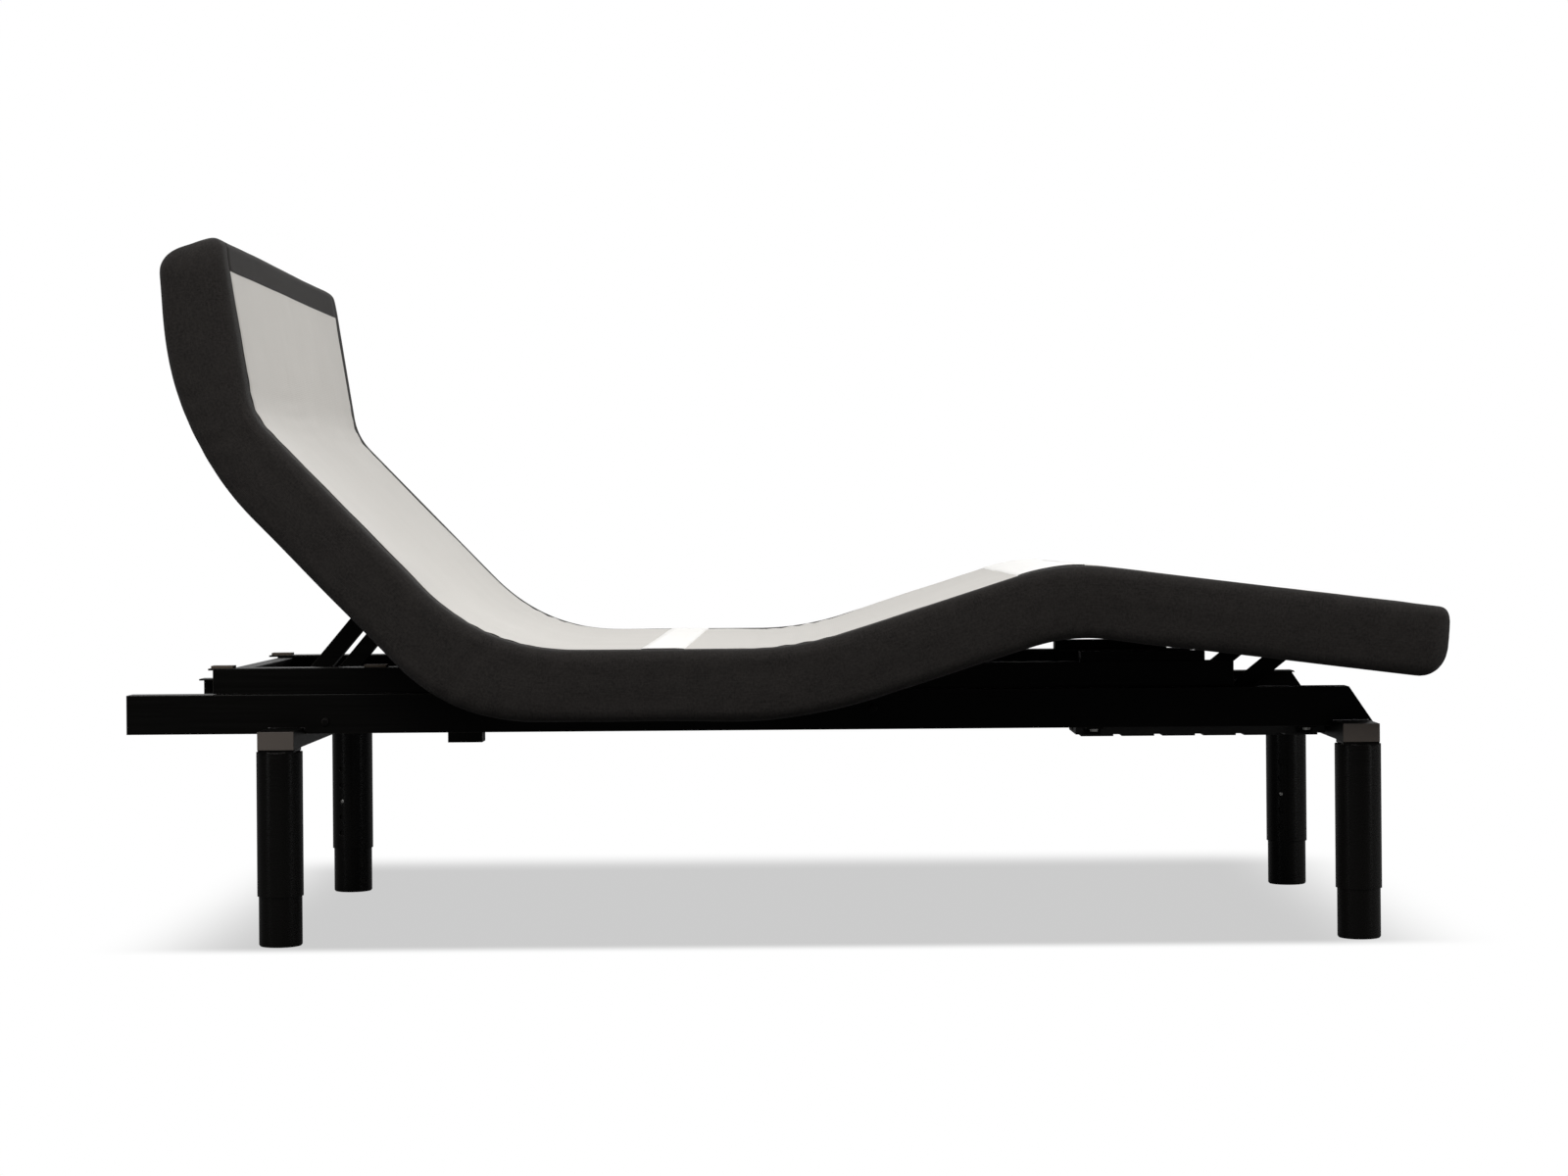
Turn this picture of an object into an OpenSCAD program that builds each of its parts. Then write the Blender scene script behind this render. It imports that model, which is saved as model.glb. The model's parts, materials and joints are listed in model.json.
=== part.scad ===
// Adjustable wall-hugger bed base: padded articulated deck on a sliding
// steel carriage, carried by a lower steel frame on four telescopic legs.
// Millimetres, +Z up, +X towards the foot end, floor at Z = 0.

/* [Deck] */
// Overall width of the padded deck
deck_w = 965; // [920:5:1000]
// Overall thickness of the padded deck, top face to lower edge
deck_t = 96; // [80:1:110]
// Thickness of the padded side borders
border_t = 48; // [30:1:60]
// Thickness of the section boards
board_t = 12; // [9:1:15]
// Depth of the hinge axes below the deck's top face
hinge_d = 20; // [18:1:24]
// Length of the head tilt section
head_l = 257; // [230:1:265]
// Length of the back section, hinge to hinge
back_l = 459; // [430:1:470]
// Length of the thigh section, hinge to hinge
thigh_l = 372; // [340:1:400]
// Length of the foot section
foot_l = 519; // [480:1:540]

/* [Pose] */
// Back section angle above level
back_a = 46; // [40:1:58]
// Head section tilt beyond the back section
tilt_a = 35; // [30:1:36]
// Thigh section angle above level
thigh_a = 17.7; // [10:0.1:30]
// Bend at the knee between thigh and foot sections
knee_a = 24.9; // [15:0.1:45]

/* [Lower frame] */
// Distance between leg centres along the bed
leg_x = 1493; // [1460:1:1500]
// Distance between leg centres across the bed
leg_y = 648; // [630:1:670]
// Distance between the outer faces of the lower side rails
rail_y = 536; // [520:1:550]
// Height of the lower side rails
rail_h = 55; // [50:1:55]
// Sheet thickness of the rails
steel_t = 2.5; // [2:0.1:3]

/* [Legs] */
// Outer tube diameter
leg_d = 63.5; // [60:0.5:66]
// Inner tube diameter
inner_d = 59.6; // [55:0.1:60]
// Height of the outer tube's lower end above the floor
leg_gap = 69; // [40:1:90]
// Pitch of the height holes
hole_pitch = 25.4; // [22:0.1:28]
// Radius of the height holes
hole_r = 4.2; // [3.5:0.1:5]

/* [Carriage] */
// Distance between the outer faces of the carriage rails
car_y = 510; // [500:1:516]
// Height of the carriage rails
car_h = 35.6; // [30:0.1:40]
// Radius of the carriage rollers
wheel_r = 24.4; // [22:0.1:24.6]

/* [Hidden] */
sx = 63;            // shift that puts the origin under the middle of the model
lx = leg_x / 2; ly = leg_y / 2;
ry = rail_y / 2; cy = car_y / 2;
rz = 289;             // underside of the lower side rails
cz = rz + rail_h + 1; // underside of the carriage rails
bz = cz + car_h;      // top of the carriage rails
Hx = -456; Hz = bz + 9.9;
T1x = -23.7; T1z = Hz;
hw = deck_w / 2;      // half width of the deck
iw = hw - border_t;   // half width inside the borders
zt = hinge_d; zb = hinge_d - deck_t;    // deck top and lower edge from a hinge axis
b0 = zt - 3 - board_t; b1 = zt - 3;     // board faces from a hinge axis
ey = 130;             // hinge ear centre line from the middle
black = [0.05, 0.05, 0.05]; cloth = [0.14, 0.13, 0.125]; grey = [0.82, 0.81, 0.79]; bright = [0.75, 0.75, 0.74];

// ---- frames of the moving sections ----
module at() { translate([sx, 0, 0]) children(); }
module at_back() { at() translate([Hx, 0, Hz]) rotate([0, back_a, 0]) children(); }
module at_head() { at_back() translate([-back_l, 0, 0]) rotate([0, tilt_a, 0]) children(); }
module at_thigh() { at() translate([T1x, 0, T1z]) rotate([0, -thigh_a, 0]) children(); }
module at_foot() { at_thigh() translate([thigh_l, 0, 0]) rotate([0, knee_a, 0]) children(); }
// side profile in X and Z, extruded from y0 to y1
module prof(y0, y1) { translate([0, y1, 0]) rotate([90, 0, 0]) linear_extrude(height = y1 - y0) children(); }
module both() { children(); mirror([0, 1, 0]) children(); }
module rodY(r, y0, y1, fn = 48) { translate([0, y0, 0]) rotate([-90, 0, 0]) cylinder(h = y1 - y0, r = r, $fn = fn); }
module box(x0, x1, y0, y1, z0, z1) { translate([x0, y0, z0]) cube([x1 - x0, y1 - y0, z1 - z0]); }

// ---- lower frame ----
module rail_cut() {
  for (s = [-1, 1]) box(s * lx - 25.5, s * lx + 25.5, -ry - 1, ry + 1, rz - 1, 297.4);
}
module base_rail_solid() {
  at() difference() {
    prof(ry - 40, ry) polygon([[-971, rz], [782, rz], [745, rz + rail_h], [-971, rz + rail_h]]);
    prof(ry - 41, ry - steel_t) polygon([[-972, rz + steel_t], [795, rz + steel_t], [795, rz + rail_h - steel_t], [-972, rz + rail_h - steel_t]]);
    rail_cut();
    // headboard bracket holes in the lower flange
    for (x = [-940, -890]) translate([x, ry - 21, rz - 1]) cylinder(h = 6, r = 4.5, $fn = 48);
  }
}
module base_rail_left() { color(black) base_rail_solid(); }
module base_rail_right() { color(black) mirror([0, 1, 0]) base_rail_solid(); }
module cross_bar(x) {
  at() translate([x, 0, 0]) difference() {
    box(-25, 25, -ly - 29, ly + 29, 272, 297);
    box(-23, 23, -ly - 30, ly + 30, 274, 295);
  }
}
module cross_bar_head() { color(black) cross_bar(-lx); }
module cross_bar_foot() { color(black) cross_bar(lx); }
module cross_bar_plugs() {
  color([0.28, 0.25, 0.23]) at() both() for (s = [-1, 1]) translate([s * lx, 0, 0]) {
    box(-22.8, 22.8, ly + 15, ly + 29.2, 274.2, 294.8);
    box(-25, 25, ly + 29.2, ly + 32, 272, 297);
  }
}
module rail_stops_and_bolts() {
  color(black) at() both() difference() {
    box(-520, -472, ry - 40, ry, 275, rz - 0.05);
    box(-517, -475, ry - 37, ry - 3, 274, 286.5);
  }
  // button-head bolts on the outer faces of the rail webs
  color(black) at() both() for (b = [[-692, 305], [77, 319]]) translate([b[0], ry + 0.05, b[1]]) rotate([-90, 0, 0]) cylinder(h = 2.6, r1 = 6, r2 = 4.6, $fn = 32);
}
// slotted guides for the lower ends of the back struts
gx0 = -802; gx1 = -716;
module link_guides() {
  color(black) at() both() for (y = [148, 182]) difference() {
    prof(y, y + 4) polygon([[gx0, 299], [lx * -1 - 24, 297.05], [-lx + 24, 297.05], [gx1, 299], [gx1, 340], [gx0, 340]]);
    hull() for (x = [-782, -738]) translate([x, y - 1, 316]) rotate([-90, 0, 0]) cylinder(h = 6, r = 16, $fn = 48);
  }
}
module leg_tube(i) {
  sxl = i < 3 ? -1 : 1; syl = i % 2 == 1 ? -1 : 1;
  at() translate([sxl * lx, syl * ly, 0]) difference() {
    union() {
      translate([0, 0, leg_gap]) cylinder(h = 268 - leg_gap, d = leg_d, $fn = 96);
      translate([-25, -29, 268]) cube([50, 58, 3.95]);
    }
    translate([0, 0, leg_gap - 1]) cylinder(h = 190 - leg_gap, d = inner_d + 0.5, $fn = 96);
    translate([0, 0, 180]) cylinder(h = 88, d = inner_d + 0.5, $fn = 96);
    for (k = [0:4]) rotate([0, 0, syl < 0 ? 155 : -25]) translate([0, -15, leg_gap + 25 + k * hole_pitch]) rotate([90, 0, 0]) cylinder(h = 40, r = hole_r, $fn = 48);
  }
}
module leg_tube_1() { color(black) leg_tube(1); }
module leg_tube_2() { color(black) leg_tube(2); }
module leg_tube_3() { color(black) leg_tube(3); }
module leg_tube_4() { color(black) leg_tube(4); }
// inner tube with closed foot and the snap button, pressed in flush, behind the third hole
module leg_inner(i) {
  sxl = i < 3 ? -1 : 1; syl = i % 2 == 1 ? -1 : 1;
  at() translate([sxl * lx, syl * ly, 0]) {
    difference() {
      union() {
        translate([0, 0, 2]) cylinder(h = 200, d = inner_d, $fn = 96);
        cylinder(h = 2, d1 = inner_d - 3, d2 = inner_d, $fn = 96);
      }
      translate([0, 0, 5]) cylinder(h = 200, d = inner_d - 4, $fn = 96);
      rotate([0, 0, syl < 0 ? 155 : -25]) translate([0, -inner_d / 2 + 1, leg_gap + 25 + 2 * hole_pitch]) rotate([90, 0, 0]) difference() {
        cylinder(h = 5, r = hole_r - 0.2, $fn = 48);
        translate([0, 0, -1]) cylinder(h = 7, r = hole_r - 1.2, $fn = 48);
      }
    }
  }
}
module leg_inner_1() { color([0.08, 0.08, 0.08]) leg_inner(1); }
module leg_inner_2() { color([0.08, 0.08, 0.08]) leg_inner(2); }
module leg_inner_3() { color([0.08, 0.08, 0.08]) leg_inner(3); }
module leg_inner_4() { color([0.08, 0.08, 0.08]) leg_inner(4); }

// ---- control box under the left-hand side near the foot end ----
cbx0 = 365; cbx1 = 719; cby0 = -219; cby1 = -105; cbz0 = 273; cbz1 = 301;
module control_box() {
  color([0.06, 0.06, 0.06]) at() difference() {
    union() {
      box(cbx0, cbx1, cby0, cby1, cbz0 + 3, cbz1);
      for (i = [0:5]) box(cbx0 + 8 + i * 58, cbx0 + 8 + i * 58 + 46, cby0 + 6, cby1 - 6, cbz0, cbz0 + 3);
    }
    // power inlet recess in the head-end face
    box(cbx0 - 1, cbx0 + 12, -176, -148, 279, 297);
    // sockets for actuators and hand control in the inner face
    for (i = [0:2]) translate([430 + i * 40, cby1 - 10, 288]) rotate([-90, 0, 0]) cylinder(h = 12, r = 6, $fn = 32);
  }
}
module control_box_straps() {
  color(black) at() for (x = [388, 688]) difference() {
    union() {
      box(x - 12, x + 12, -ry + 4, cby0 - 0.05, rz - 2.55, rz - 0.05);
      box(x - 12, x + 12, cby0 - 2.05, cby0 - 0.05, 276, rz - 1);
    }
    translate([x, -ry + 18, rz - 5]) cylinder(h = 8, r = 3.1, $fn = 32);
  }
}
module control_box_bolts() {
  color(bright) at() for (x = [388, 688]) translate([x, -ry + 18, 0]) {
    translate([0, 0, rz - 6.6]) cylinder(h = 4, r1 = 5.2, r2 = 6.2, $fn = 32);
    translate([0, 0, rz - 3]) cylinder(h = 2.9, r = 3, $fn = 32);
  }
}

// ---- sliding carriage ----
module car_rail_solid() {
  at() difference() {
    union() {
      prof(cy - 40, cy) polygon([[-852, cz], [585, cz], [585, bz], [-852, bz]]);
      box(-858.6, -851, cy - 40, cy, bz - steel_t, bz);
    }
    box(-866, 590, cy - 41, cy - steel_t, cz + steel_t, bz - steel_t);
  }
}
module carriage_rail_left() { color(black) car_rail_solid(); }
module carriage_rail_right() { color(black) mirror([0, 1, 0]) car_rail_solid(); }
tubes = [-845, -395, -110, 528];
module carriage_cross_tubes() {
  color(black) at() for (x = tubes) difference() {
    box(x, x + 25, -cy + 40.1, cy - 40.1, cz + 4, bz - 4);
    box(x + 2, x + 23, -cy, cy, cz + 6, bz - 6);
  }
}
module rail_bumpers() {
  color([0.25, 0.22, 0.2]) at() both() for (x = [-856, -640]) box(x, x + 31, cy - 32, cy - 8, bz + 0.02, bz + 3.5);
}
module deck_blocks() {
  color(black) at() both() {
    for (x = [-350, -240, -150, -55]) box(x, x + 26, cy - 36, cy - 6, bz + 0.02, bz + 14.9);
    box(370, 545, cy - 36, cy - 4, bz + 0.02, bz + 14.3);
  }
}
axz = rz + steel_t + wheel_r + 0.35;
axx = [-560, 480];
module roller_hangers() {
  color(black) at() both() for (x = axx) {
    difference() {
      prof(221, 225) polygon([[x - 22, cz - 0.02], [x + 22, cz - 0.02], [x + 12, 305], [x - 12, 305]]);
      translate([x, 215, axz]) rotate([-90, 0, 0]) cylinder(h = 20, r = 6, $fn = 48);
    }
    translate([x, 0, axz]) rodY(6, 219, 261);
  }
}
module roller(i) {
  y = i % 2 == 1 ? -1 : 1;
  at() translate([axx[i < 3 ? 0 : 1], y * 247, axz]) difference() {
    rodY(wheel_r, -10, 10, 96);
    rodY(6.05, -11, 11);
    for (a = [0:60:300]) rotate([0, a, 0]) translate([15, 0, 0]) rodY(3, -11, 11, 24);
  }
}
module roller_1() { color([0.2, 0.2, 0.2]) roller(1); }
module roller_2() { color([0.2, 0.2, 0.2]) roller(2); }
module roller_3() { color([0.2, 0.2, 0.2]) roller(3); }
module roller_4() { color([0.2, 0.2, 0.2]) roller(4); }
// rear pivots of the two actuators and lower pivots of the foot struts
pax = -97.5; paz = 308; ptx = -382; ptz = 305;
qx = 575; qz = 320;
module lug(x, z, y, gap, ztop, r = 10, rp = 5, ext = 0) {
  for (s = [-1, 1]) difference() {
    union() {
      translate([x, y, z]) rodY(r, s > 0 ? gap : -gap - 4, s > 0 ? gap + 4 : -gap);
      box(x - r, x + r, s > 0 ? y + gap : y - gap - 4, s > 0 ? y + gap + 4 : y - gap, z, ztop);
      if (ext > 0) box(x - ext, x, s > 0 ? y + gap : y - gap - 4, s > 0 ? y + gap + 4 : y - gap, z + 10, ztop);
    }
    translate([x, y, z]) rodY(rp, -gap - 5, gap + 5);
  }
  translate([x, y, z]) rodY(rp, -gap - 6, gap + 6);
}
module actuator_brackets() {
  color(black) at() {
    lug(pax, paz, 70, 12, cz + 4);
    lug(ptx, ptz, -70, 12, cz + 4);
    both() lug(qx, qz, 194, 14, cz + 4, 11, 6, 47);
  }
}

// ---- hinge pieces: s is the side a leaf lies on (+1 towards +X) ----
// outer pair of ears on one leaf, centre ear on the other
module leaf(s, outer) {
  both() difference() {
    union() for (yy = outer ? [[118, 122], [138, 142]] : [[123, 137]]) translate([0, 0, 0]) {
      rodY(8, yy[0], yy[1]);
      translate([s > 0 ? 0 : -14, yy[0], -5]) cube([14, yy[1] - yy[0], 9.9]);
    }
    rodY(4.05, 110, 150);
  }
}
module pins() { both() { rodY(4, 116.5, 143.5); rodY(6.5, 143.5, 145.5); rodY(6.5, 114.5, 116.5); } }
// pair of long bars with cross bars, from x0 to x1
module bars(x0, x1, xs) {
  both() box(x0, x1, 117.5, 142.5, -5, 4.9);
  for (x = xs) { box(x - 14, x + 14, -117.5, 117.5, -5, 4.9); both() box(x - 14, x + 14, 142.5, 330, -5, 4.9); }
}
module board(x0, x1, n0, n1) {
  difference() {
    box(x0, x1, -iw + 0.2, iw - 0.2, b0, b1);
    both() { if (n0) box(x0 - 1, x0 + 14, 112, 148, b0 - 1, b1 + 1); if (n1) box(x1 - 14, x1 + 1, 112, 148, b0 - 1, b1 + 1); }
  }
}
module pad(x0, x1) { box(x0, x1, -iw + 0.2, iw - 0.2, b1 + 0.05, zt); }
module borders(pts) { both() prof(iw, hw) polygon(pts); }

// ---- seat section, on the carriage ----
seat_l = T1x - Hx;
module at_seat() { at() translate([Hx, 0, Hz]) children(); }
module seat_frame() {
  color(black) at_seat() {
    difference() {
      union() { bars(12, seat_l - 12, [60, seat_l - 60]); leaf(1, true); translate([seat_l, 0, 0]) leaf(-1, true); }
      both() { rodY(4.05, 110, 150); translate([seat_l, 0, 0]) rodY(4.05, 110, 150); }
    }
  }
}
module hinge_pins() { color(bright) at_seat() { pins(); translate([seat_l, 0, 0]) pins(); } }
module seat_board() { color([0.35, 0.28, 0.2]) at_seat() board(11.8, seat_l - 6.6, true, true); }
module seat_pad() { color(grey) at_seat() pad(11.8, seat_l - 6.6); }
module seat_borders() { color(cloth) at_seat() borders([[11.8, zb], [seat_l - 6.6, zb], [seat_l - 6.6, zt], [11.8, zt]]); }

// ---- back section ----
module back_frame() {
  color(black) at_back() {
    bars(-back_l + 12, -12, [-60, -back_l + 60]); leaf(-1, false); translate([-back_l, 0, 0]) leaf(1, true);
    // pivot brackets of the back struts
    both() for (y = [151, 181]) difference() {
      union() {
        prof(y - 2, y + 2) polygon([[-215, 4.9], [-155, 4.9], [-173, -45], [-197, -45]]);
        translate([-185, 0, -45]) rodY(12, y - 2, y + 2);
      }
      translate([-185, 0, -45]) rodY(8, y - 3, y + 3);
    }
    translate([-185, 0, -45]) rodY(8, -189, 189);
  }
}
// lever arm pushed by the back actuator
horn_l = 85;
module horn(ang, yc, hole) {
  for (y = [yc - 3, yc + 3]) difference() {
    union() {
      rotate([0, ang, 0]) translate([0, 0, -horn_l]) rodY(hole + 7, y - 2, y + 2);
      rotate([0, ang, 0]) prof(y - 2, y + 2) polygon([[-hole - 4, -horn_l + 6], [hole + 4, -horn_l + 6], [13, -16], [-13, -16]]);
      children();
    }
    rotate([0, ang, 0]) translate([0, 0, -horn_l]) rodY(hole, y - 3, y + 3);
  }
}
module back_horn() {
  color(black) at_back() {
    horn(-15, 70, 12.8);
    for (y = [67, 73]) prof(y - 2, y + 2) polygon([[-74, -5.05], [-48, -5.05], [8, -20], [-2, -40], [-24, -36]]);
  }
}
module back_board() { color([0.35, 0.28, 0.2]) at_back() board(-back_l + 6.6, -11.8, true, true); }
module back_pad() { color(grey) at_back() pad(-back_l + 6.6, -11.8); }
module back_borders() { color(cloth) at_back() borders([[-back_l + 6.6, zb], [-11.8, zb], [-11.8, zt], [-back_l + 6.6, zt]]); }
module tilt_hinge_pins() { color(bright) at_back() translate([-back_l, 0, 0]) pins(); }

// ---- head section ----
module head_frame() { color(black) at_head() { bars(-190, -12, [-60, -170]); leaf(-1, false); } }
module head_board() { color([0.35, 0.28, 0.2]) at_head() board(-head_l + 38, -6.6, false, true); }
module head_pad() { color(grey) at_head() pad(-head_l + 38, -6.6); }
module head_borders() {
  color(cloth) at_head() {
    borders([[-head_l + 52, zb], [-6.6, zb], [-6.6, zt], [-head_l + 14, zt], [-head_l, zt - 14], [-head_l, zb + 48], [-head_l + 14, zb + 16]]);
    prof(-iw + 0.2, iw - 0.2) polygon([[-head_l + 37.8, zb + 4], [-head_l + 37.8, zt], [-head_l + 14, zt], [-head_l, zt - 14], [-head_l, zb + 48], [-head_l + 14, zb + 16]]);
  }
}

// ---- back struts, joined by the shaft at their upper end ----
strut_a = 50; strut_l = 231;
Ux = Hx - 185 * cos(back_a) - 45 * sin(back_a); Uz = Hz + 185 * sin(back_a) - 45 * cos(back_a);
module back_struts() {
  color(black) at() translate([Ux, 0, Uz]) rotate([0, -strut_a, 0]) both() difference() {
    union() {
      box(-strut_l, 0, 154.5, 177.5, -12, 12);
      rodY(12, 154.5, 177.5);
      translate([-strut_l, 0, 0]) rodY(12, 154.5, 177.5);
      translate([-strut_l, 0, 0]) rodY(8, 143, 189);
    }
    rodY(8.06, 140, 190);
  }
}

// ---- thigh and foot sections ----
module thigh_frame() {
  color(black) at_thigh() { bars(12, thigh_l - 12, [60, thigh_l - 60]); leaf(1, false); translate([thigh_l, 0, 0]) leaf(-1, true); }
}
module thigh_horn() {
  color(black) at_thigh() {
    horn(thigh_a - 17, -70, 10);
    for (y = [-73, -67]) prof(y - 2, y + 2) polygon([[74, -5.05], [48, -5.05], [-8, -20], [2, -40], [24, -36]]);
  }
}
module thigh_board() { color([0.35, 0.28, 0.2]) at_thigh() board(6.6, thigh_l - 2, true, true); }
module thigh_pad() { color(grey) at_thigh() pad(6.6, thigh_l - 2); }
module thigh_borders() {
  color(cloth) at_thigh() borders([[6.6, zb], [thigh_l - 37, zb], [thigh_l - 2.2, -1], [thigh_l - 2.2, zt], [6.6, zt]]);
}
module knee_hinge_pins() { color(bright) at_thigh() translate([thigh_l, 0, 0]) pins(); }
vx = 390.2; vz = -29.8;
module foot_frame() {
  color(black) at_foot() {
    bars(12, foot_l - 60, [225, foot_l - 90]); leaf(1, false);
    // oversize eyes for the foot struts
    both() for (y = [176, 212]) difference() {
      union() {
        translate([vx, 0, vz]) rodY(23, y - 2, y + 2);
        box(vx - 22, vx + 22, y - 2, y + 2, vz, 4.9);
      }
      translate([vx, 0, vz]) rodY(17, y - 3, y + 3);
    }
  }
}
module foot_board() { color([0.35, 0.28, 0.2]) at_foot() board(2, foot_l - 40, true, false); }
module foot_pad() { color(grey) at_foot() pad(2, foot_l - 40); }
module foot_borders() {
  color(cloth) at_foot() {
    borders([[37, zb], [foot_l - 30, zb], [foot_l - 9, zb + 9], [foot_l, zb + 30], [foot_l, zt - 12], [foot_l - 12, zt], [2.2, zt], [2.2, -1]]);
    prof(-iw + 0.2, iw - 0.2) polygon([[foot_l - 39.8, zb], [foot_l - 30, zb], [foot_l - 9, zb + 9], [foot_l, zb + 30], [foot_l, zt - 12], [foot_l - 12, zt], [foot_l - 39.8, zt]]);
  }
}
fs_a = 38.6; fs_l = 175;
module foot_struts() {
  color(black) at() translate([qx, 0, qz]) rotate([0, -fs_a, 0]) both() difference() {
    union() {
      box(0, fs_l, 182, 206, -11, 11);
      rodY(11, 182, 206);
      translate([fs_l, 0, 0]) rodY(11, 182, 206);
      translate([fs_l, 0, 0]) rodY(6, 172, 216);
    }
    rodY(6.06, 170, 220);
  }
}

// ---- linear actuators: tube, gear case and motor, then the rod ----
module actuator(dir, len, side) {
  difference() {
    union() {
      rodY(10, -10, 10);
      rotate([0, dir * 90, 0]) translate([0, 0, 8]) cylinder(h = 12, r = 9, $fn = 48);
      box(dir > 0 ? 18 : -78, dir > 0 ? 78 : -18, side > 0 ? -22 : -72, side > 0 ? 72 : 22, -19, 19);
      rotate([0, dir * 90, 0]) translate([0, 0, 76]) cylinder(h = len - 76, r = 18, $fn = 64);
      translate([0, side * 48, 0]) rotate([0, dir * 90, 0]) translate([0, 0, 76]) cylinder(h = 110, r = 18.5, $fn = 64);
    }
    rodY(5.06, -12, 12);
    rotate([0, dir * 90, 0]) translate([0, 0, 90]) cylinder(h = len, r = 10.06, $fn = 48);
  }
}
module rod(dir, len, x0) {
  rotate([0, dir * 90, 0]) translate([0, 0, x0]) cylinder(h = len - x0 - 34, r = 10, $fn = 48);
  box(dir > 0 ? len - 38 : -len - 0, dir > 0 ? len + 0 : -len + 38, -10, -6.6, -8, 8);
  box(dir > 0 ? len - 38 : -len - 0, dir > 0 ? len + 0 : -len + 38, 6.6, 10, -8, 8);
  box(dir > 0 ? len - 44 : -len + 34, dir > 0 ? len - 34 : -len + 44, -10, 10, -8, 8);
  translate([dir * len, 0, 0]) { rodY(8, -10, -6.6); rodY(8, 6.6, 10); rodY(5, -12, 12); }
}
la = 402.4; aa = 1.37; lt = 383.2; ta = 0.67;
module back_actuator() { color([0.1, 0.1, 0.1]) at() translate([pax, 70, paz]) rotate([0, aa, 0]) actuator(-1, 262, -1); }
module back_actuator_rod() { color(bright) at() translate([pax, 70, paz]) rotate([0, aa, 0]) rod(-1, la, 190); }
module thigh_actuator() { color([0.1, 0.1, 0.1]) at() translate([ptx, -70, ptz]) rotate([0, -ta, 0]) actuator(1, 262, 1); }
module thigh_actuator_rod() { color(bright) at() translate([ptx, -70, ptz]) rotate([0, -ta, 0]) rod(1, lt, 180); }

// drawn pieces
base_rail_left();
base_rail_right();
cross_bar_head();
cross_bar_foot();
cross_bar_plugs();
rail_stops_and_bolts();
link_guides();
leg_tube_1();
leg_tube_2();
leg_tube_3();
leg_tube_4();
control_box();
control_box_straps();
control_box_bolts();
carriage_rail_left();
carriage_rail_right();
carriage_cross_tubes();
rail_bumpers();
deck_blocks();
roller_hangers();
actuator_brackets();
seat_frame();
seat_board();
seat_pad();
seat_borders();
hinge_pins();
roller_1();
roller_2();
roller_3();
roller_4();
back_frame();
back_horn();
back_board();
back_pad();
back_borders();
tilt_hinge_pins();
head_frame();
head_board();
head_pad();
head_borders();
back_struts();
thigh_frame();
thigh_horn();
thigh_board();
thigh_pad();
thigh_borders();
knee_hinge_pins();
foot_frame();
foot_board();
foot_pad();
foot_borders();
foot_struts();
back_actuator();
back_actuator_rod();
thigh_actuator();
thigh_actuator_rod();
leg_inner_1();
leg_inner_2();
leg_inner_3();
leg_inner_4();
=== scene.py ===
import json
from math import sin, cos, tan, pi, radians, exp, hypot
import bpy
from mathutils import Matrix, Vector, noise


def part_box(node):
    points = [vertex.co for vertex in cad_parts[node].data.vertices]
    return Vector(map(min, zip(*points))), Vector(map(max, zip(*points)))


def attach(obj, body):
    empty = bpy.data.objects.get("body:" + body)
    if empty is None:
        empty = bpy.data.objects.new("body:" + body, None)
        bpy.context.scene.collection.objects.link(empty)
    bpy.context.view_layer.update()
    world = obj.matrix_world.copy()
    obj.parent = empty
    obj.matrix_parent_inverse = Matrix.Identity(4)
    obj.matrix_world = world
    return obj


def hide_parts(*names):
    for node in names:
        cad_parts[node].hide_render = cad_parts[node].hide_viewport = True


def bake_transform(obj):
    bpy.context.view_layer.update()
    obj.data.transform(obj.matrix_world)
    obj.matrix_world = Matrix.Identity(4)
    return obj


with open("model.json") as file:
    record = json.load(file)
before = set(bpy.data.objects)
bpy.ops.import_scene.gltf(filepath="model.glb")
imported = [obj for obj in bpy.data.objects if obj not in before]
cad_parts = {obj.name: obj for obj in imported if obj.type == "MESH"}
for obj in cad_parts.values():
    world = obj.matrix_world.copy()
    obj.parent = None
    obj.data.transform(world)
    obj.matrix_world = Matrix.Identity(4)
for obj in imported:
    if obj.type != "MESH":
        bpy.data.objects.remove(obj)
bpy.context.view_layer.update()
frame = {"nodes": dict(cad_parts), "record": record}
nodes, record = frame["nodes"], frame["record"]
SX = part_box("base_rail_left")[0][0] + 0.971
D = pi / 180

# ---------------------------------------------------------------- materials
def new_mat(name):
    m = bpy.data.materials.new(name)
    m.use_nodes = True
    nt = m.node_tree
    nt.nodes.clear()
    out = nt.nodes.new("ShaderNodeOutputMaterial")
    bs = nt.nodes.new("ShaderNodeBsdfPrincipled")
    nt.links.new(bs.outputs[0], out.inputs[0])
    return m, nt, bs


def N(nt, kind, **kw):
    n = nt.nodes.new("ShaderNode" + kind)
    for k, v in kw.items():
        if k in n.inputs.keys():
            n.inputs[k].default_value = v
        else:
            setattr(n, k, v)
    return n


def L(nt, a, b):
    nt.links.new(a, b)


def ramp(nt, src, stops):
    r = N(nt, "ValToRGB")
    e = r.color_ramp.elements
    while len(e) < len(stops):
        e.new(0.5)
    for i, (p, c) in enumerate(stops):
        e[i].position = p
        e[i].color = c if len(c) == 4 else (*c, 1)
    L(nt, src, r.inputs[0])
    return r


def coords(nt, use_uv):
    tc = N(nt, "TexCoord")
    return tc.outputs["UV"] if use_uv else tc.outputs["Object"]


def mapped(nt, src, scale):
    mp = N(nt, "Mapping")
    mp.inputs["Scale"].default_value = scale
    L(nt, src, mp.inputs["Vector"])
    return mp.outputs[0]


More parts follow.
